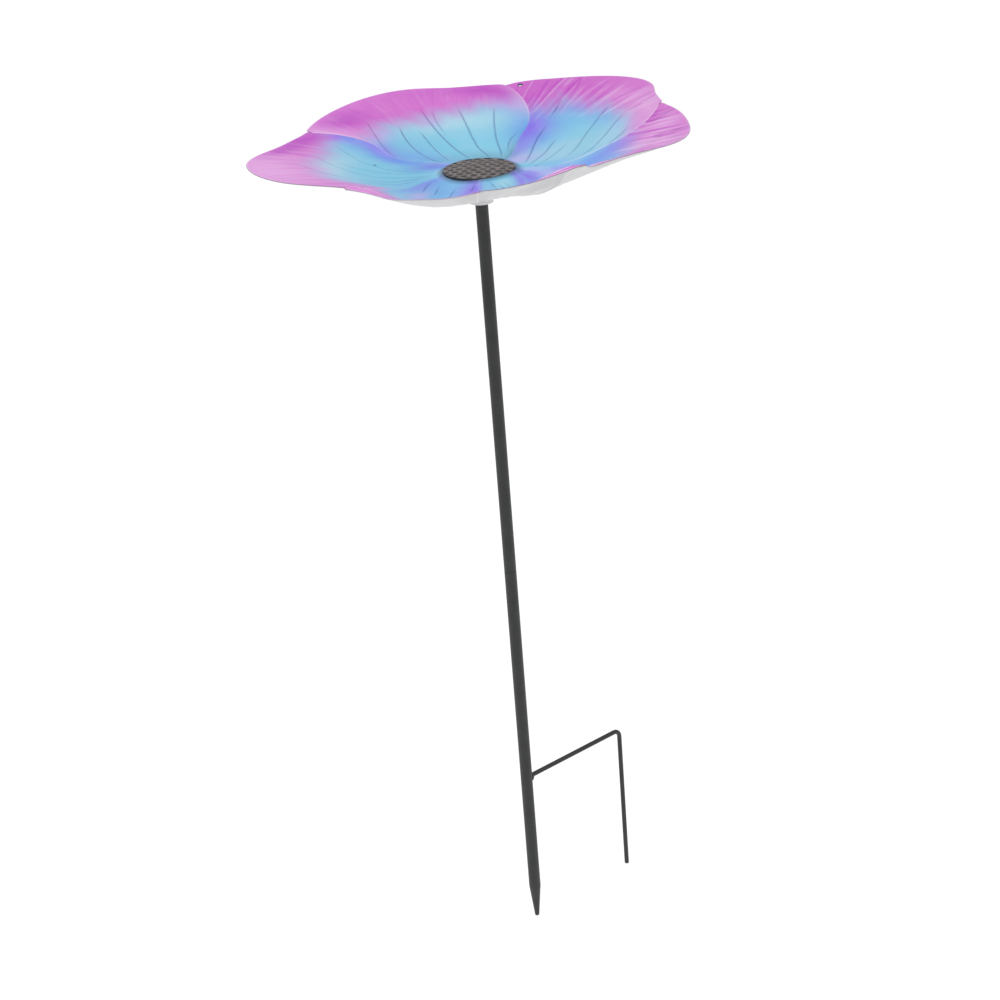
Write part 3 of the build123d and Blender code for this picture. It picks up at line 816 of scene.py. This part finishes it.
def petal_faces():
    """Faces and slots of a petal: a fine grid above, a coarse one below, stitched all round."""
    coarse = (ROWS + 1) // 2, (COLUMNS + 1) // 2
    start = ROWS * COLUMNS
    above = grid_faces(ROWS, COLUMNS, flip=True)
    below = grid_faces(*coarse, start)
    band = stitch(grid_ring(ROWS, COLUMNS), grid_ring(*coarse, start))
    side, rim = (3 * (length - 1) for length in coarse)
    slots = [PAINT] * len(above) + [RESIN] * (len(below) + side) + [PAINT] * rim
    slots += [RESIN] * (len(band) - side - rim)
    return above + below + band, slots


def both_sides(above, below):
    """Values at all points above, then at every second point below."""
    shape = (-1, *above.shape[2:])
    return np.concatenate((above.reshape(shape), below[::2, ::2].reshape(shape)))


def make_petal(name, materials):
    """One petal: painted relief above, plain resin below, rounded edges between."""
    grid = petal_grid(name)
    veins, dark = vein_relief(name, grid.r, grid.azimuth)
    ridges = ridge_relief(name, grid.r, grid.azimuth, grid.u)
    top, bottom = (
        place(grid.r, grid.azimuth, z) for z in petal_heights(name, grid, veins + ridges)
    )
    masks = petal_masks(name, grid, ridges, dark)
    masks = {key: both_sides(values, values) for key, values in masks.items()}
    faces, slots = petal_faces()
    obj = new_object(f"petal_{name}", both_sides(top, bottom), faces, materials, masks, slots)
    join_rider(obj)
    return obj


HOLE_SIDES = 32
CUTTER = (-15.0, 60.0)        # mm below and above the bowl's floor
HOLE_SHADE_NEAR, HOLE_SHADE_FAR = 0.1, 0.3                    # where the painted shade round a hole fades: mm, and share of the diameter, past the wall


def drill(obj, r, azimuth, diameter):
    """A round hole straight down through a petal, its wall darkened with painted shade."""
    turn = 2 * np.pi * np.arange(HOLE_SIDES) / HOLE_SIDES
    ring = np.stack((np.cos(turn), np.sin(turn)), axis=-1) * diameter / 2
    middle = place(np.array(r), np.array(azimuth), dish_floor)[:2]
    points = [(*(middle + p), dish_floor + z) for z in CUTTER for p in ring]
    faces = grid_faces(2, HOLE_SIDES, wrap=True)
    faces += [tuple(range(HOLE_SIDES))[::-1], tuple(range(HOLE_SIDES, 2 * HOLE_SIDES))]
    cutter = new_object("cutter", points, faces, list(obj.data.materials))
    cutter.data.polygons.foreach_set("use_smooth", [False] * len(faces))
    cut = obj.modifiers.new("hole", "BOOLEAN")
    cut.operation, cut.solver, cut.object = "DIFFERENCE", "EXACT", cutter
    graph = bpy.context.evaluated_depsgraph_get()
    drilled = bpy.data.meshes.new_from_object(obj.evaluated_get(graph))
    obj.modifiers.clear()
    plain, obj.data = obj.data, drilled
    drilled.name = plain.name + "_drilled"
    corners = np.empty(3 * len(drilled.vertices))
    drilled.vertices.foreach_get("co", corners)
    past = np.hypot(*(corners.reshape(-1, 3)[:, :2] / MM - middle).T) - diameter / 2
    halo_and_shade = np.empty(len(drilled.vertices), dtype=np.float32)
    values = drilled.attributes["halo_and_shade"].data
    values.foreach_get("value", halo_and_shade)
    # painted shade on the hole's wall and just round it
    halo_and_shade = np.maximum(halo_and_shade, 1 - step(past, HOLE_SHADE_NEAR, HOLE_SHADE_FAR * diameter))
    values.foreach_set("value", halo_and_shade.astype(np.float32))
    bpy.data.meshes.remove(plain)
    bpy.data.objects.remove(cutter)


def drill_holes(petals):
    """The hang hole beside the back right petal's corner and the drain hole in the left one."""
    t = 1 - (CORNER_ROUND + HANG_HOLE_INSET) / petal_width("back_right")
    r = float(rim_radius("back_right", t)) - HANG_HOLE_INSET
    first, second = (float(a) for a in petal_span("back_right", r))
    drill(petals["back_right"], r, first + (second - first) * t, HANG_HOLE)
    drill(petals["left"], DRAIN_RADIUS, DRAIN_AZIMUTH, DRAIN_HOLE)


DISC_ROWS, DISC_COLUMNS = 90, 300
DISC_EDGE = 0.6               # mm of the disc's edge left for its rounding
# below the dome: how far in from the disc's edge and how high, mm
DISC_SIDE = ((0.25, DISC_HEIGHT - 0.25), (0.05, DISC_HEIGHT - 0.8), (0.0, 1.0), (0.0, -1.5))
PIT_PITCH, PIT_ROW = 9.2, 8.0                     # mm between pits, and between their rows
PIT_HALVES = (3.7, 2.9)
PIT_DEPTH = 1.8
PIT_STEEP = 1.3               # 1 is a bell; more makes a flatter floor and a steeper wall
EDGE_SHADE = 0.9              # painted shade: the disc's side is nearly as dark as a pit
PIT_STRAY = (0.35, 0.3)       # mm that pits lie off their places, at random
PITS = 6                      # to each side of the middle one
PIT_MARGIN = 1.5              # mm at the disc's edge with no pit's middle


def disc_pits(x, y):
    """How far in the disc's pits each point lies, 0 to 1; every second row is staggered."""
    dice = np.random.default_rng(5)
    pit = 0 * x
    for j in range(-PITS, PITS + 1):
        for i in range(-PITS, PITS + 1):
            cx = (i + 0.5 * (j % 2)) * PIT_PITCH + dice.normal(0, PIT_STRAY[0])
            cy = j * PIT_ROW + dice.normal(0, PIT_STRAY[1])
            if np.hypot(cx, cy) < DISC_RADIUS - PIT_MARGIN:
                away = ((x - cx) / PIT_HALVES[0]) ** 2 + ((y - cy) / PIT_HALVES[1]) ** 2
                pit = np.maximum(pit, np.exp(-(away**PIT_STEEP)))
    return pit


def make_disc(material):
    """Domed seed disc, covered with staggered pits."""
    out = np.linspace(0, 1, DISC_ROWS)[:, None] * np.ones(DISC_COLUMNS) * (DISC_RADIUS - DISC_EDGE)
    turn = FULL_TURN * np.arange(DISC_COLUMNS) / DISC_COLUMNS + 0 * out
    pit = disc_pits(out * np.cos(np.radians(turn)), out * np.sin(np.radians(turn)))
    z = DISC_HEIGHT + DISC_DOME * (1 - (out / DISC_RADIUS) ** 2) - PIT_DEPTH * pit
    # the side's rows get the pit mask's near-black as painted shade
    for inset, level in DISC_SIDE:
        out, z, pit = (
            np.vstack((rows, np.full(DISC_COLUMNS, value)))
            for rows, value in ((out, DISC_RADIUS - inset), (z, level), (pit, EDGE_SHADE))
        )
    turn = np.broadcast_to(turn[0], out.shape)
    vertices = place(out, turn, dish_floor + z).reshape(-1, 3)
    faces = grid_faces(*out.shape, wrap=True)
    join_rider(new_object("seed_disc", vertices, faces, [material], {"pit": pit.reshape(-1)}))


HUB_COLUMNS = 128
HUB_BORE = 8.0                # hidden in the socket
HUB_TOP = HUB_DEPTH - WALL
# radius and height over the dish's seat: flat pad, then a flare up to under the disc's edge
HUB_PROFILE = (
    (HUB_BORE, 0.0), (HUB_RADIUS - 1.2, 0.0), (HUB_RADIUS - 0.4, 0.15), (HUB_RADIUS + 0.3, 0.6),
    (HUB_RADIUS + 3, 2.0), (HUB_RADIUS + 7, 3.7), (HUB_RADIUS + 11, 4.7),
    (DISC_RADIUS, HUB_TOP - 0.2), (DISC_RADIUS, HUB_TOP), (HUB_BORE, HUB_TOP),
)


def make_hub(material):
    """Flat pad and flare under the dish."""
    turn = FULL_TURN * np.arange(HUB_COLUMNS) / HUB_COLUMNS
    vertices = [tuple(place(r, a, dish_seat + z)) for r, z in HUB_PROFILE for a in turn]
    faces = grid_faces(len(HUB_PROFILE), HUB_COLUMNS, flip=True, wrap=True)
    join_rider(new_object("dish_hub", vertices, faces, [material]))


paint, resin, disc, stake = petal_paint(), white_resin(), disc_paint(), stake_paint()
drill_holes({name: make_petal(name, [paint, resin]) for name in PETALS})
make_disc(disc)
make_hub(resin)

for node_name, finish in {
    "pole_socket": resin, "upper_pole": stake, "lower_pole": stake, "step_bar": stake,
    "step_bar_weld": stake, "joint_spigot": stake,
}.items():
    node_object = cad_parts[node_name]
    node_object.data.materials.clear()
    node_object.data.materials.append(finish)


# ------------------------------------------------------------------ floor, light, camera
FLOOR_HALF, FLOOR_POINTS = 14.0, 9                # metres, and points along each side
WHITE = (1, 1, 1, 1)
# name, place, width and power in watts
LAMPS = (
    ("key", (-1.2, -0.6, 2.6), 1.6, 18.5), ("fill", (1.6, -1.4, 1.6), 1.6, 6.5),
    ("back", (0.6, 1.8, 2.0), 1.4, 7.6),
)
LAMP_TARGET = Vector((0, 0, 0.5))
CAMERA_AT = (-1.4673, -1.7559, 1.3405)
CAMERA_TURN = (-39.76, 23.754, -4.527)            # azimuth, pitch down and roll, degrees
CAMERA_LENS, CAMERA_SENSOR = 87.29, 36.0


def choose_by_ray(tree, ray, hidden, shown):
    """One shader for the camera and for another kind of ray, and another one for the rest."""
    path = tree.nodes.new("ShaderNodeLightPath")
    either = tree.nodes.new("ShaderNodeMath")
    either.operation = "MAXIMUM"
    choose = tree.nodes.new("ShaderNodeMixShader")
    for socket, value in zip(either.inputs, (path.outputs["Is Camera Ray"], path.outputs[ray])):
        tree.links.new(value, socket)
    for socket, value in zip(choose.inputs, (either.outputs[0], hidden, shown)):
        tree.links.new(value, socket)
    return choose.outputs[0]


def make_floor():
    """Pale paper that looks white to the camera and takes only a faint shadow."""
    mesh = bpy.data.meshes.new("floor")
    steps = np.linspace(-FLOOR_HALF, FLOOR_HALF, FLOOR_POINTS)
    points = [(x, y, cad_box[0].z) for y in steps for x in steps]
    mesh.from_pydata(points, [], grid_faces(FLOOR_POINTS, FLOOR_POINTS))
    material = bpy.data.materials.new("floor_paper")
    material.use_nodes = True
    tree = material.node_tree
    tree.nodes.clear()
    out = tree.nodes.new("ShaderNodeOutputMaterial")
    diffuse = add_node(tree, "ShaderNodeBsdfDiffuse", Color=(0.85, 0.85, 0.85, 1))
    pale = add_node(tree, "ShaderNodeBsdfDiffuse", Color=(0.3, 0.3, 0.3, 1))
    glow = add_node(tree, "ShaderNodeEmission", Color=WHITE, Strength=0.84)
    seen = tree.nodes.new("ShaderNodeAddShader")
    tree.links.new(pale.outputs[0], seen.inputs[0])
    tree.links.new(glow.outputs[0], seen.inputs[1])
    surface = choose_by_ray(tree, "Is Glossy Ray", diffuse.outputs[0], seen.outputs[0])
    tree.links.new(surface, out.inputs["Surface"])
    mesh.materials.append(material)
    floor = bpy.data.objects.new("floor", mesh)
    bpy.context.scene.collection.objects.link(floor)


def make_world():
    """Even light from all round, and a white background."""
    world = bpy.data.worlds.new("studio")
    bpy.context.scene.world = world
    world.use_nodes = True
    tree = world.node_tree
    tree.nodes.clear()
    out = tree.nodes.new("ShaderNodeOutputWorld")
    light = add_node(tree, "ShaderNodeBackground", Color=WHITE, Strength=0.60)
    seen = add_node(tree, "ShaderNodeBackground", Color=WHITE, Strength=1.0)
    surface = choose_by_ray(tree, "Is Transmission Ray", light.outputs[0], seen.outputs[0])
    tree.links.new(surface, out.inputs["Surface"])


def make_lamp(name, place_at, size, power):
    """A round soft lamp that looks at the middle of the feeder."""
    lamp = bpy.data.lights.new(name, "AREA")
    lamp.shape = "DISK"
    lamp.size = size
    lamp.energy = power
    obj = bpy.data.objects.new(name, lamp)
    obj.location = place_at
    obj.rotation_euler = (LAMP_TARGET - obj.location).to_track_quat("-Z", "Y").to_euler()
    bpy.context.scene.collection.objects.link(obj)


def make_camera():
    """Looks down along the arm's side of the feeder, a little rolled."""
    azimuth, pitch, roll = np.radians(CAMERA_TURN)
    turn = Matrix.Rotation(azimuth, 3, "Z")
    forward = turn @ Vector((0, np.cos(pitch), -np.sin(pitch)))
    right = turn @ Vector((1, 0, 0))
    up = right.cross(forward)
    x = right * np.cos(roll) + up * np.sin(roll)
    y = up * np.cos(roll) - right * np.sin(roll)
    camera = bpy.data.cameras.new("camera")
    camera.lens, camera.sensor_width = CAMERA_LENS, CAMERA_SENSOR
    obj = bpy.data.objects.new("camera", camera)
    bpy.context.scene.collection.objects.link(obj)
    obj.matrix_world = Matrix.LocRotScale(
        Vector(CAMERA_AT), Matrix((x, y, -forward)).transposed(), None
    )
    bpy.context.scene.camera = obj


make_floor()
make_world()
for lamp_row in LAMPS:
    make_lamp(*lamp_row)
make_camera()
bpy.context.scene.view_settings.view_transform = "Standard"
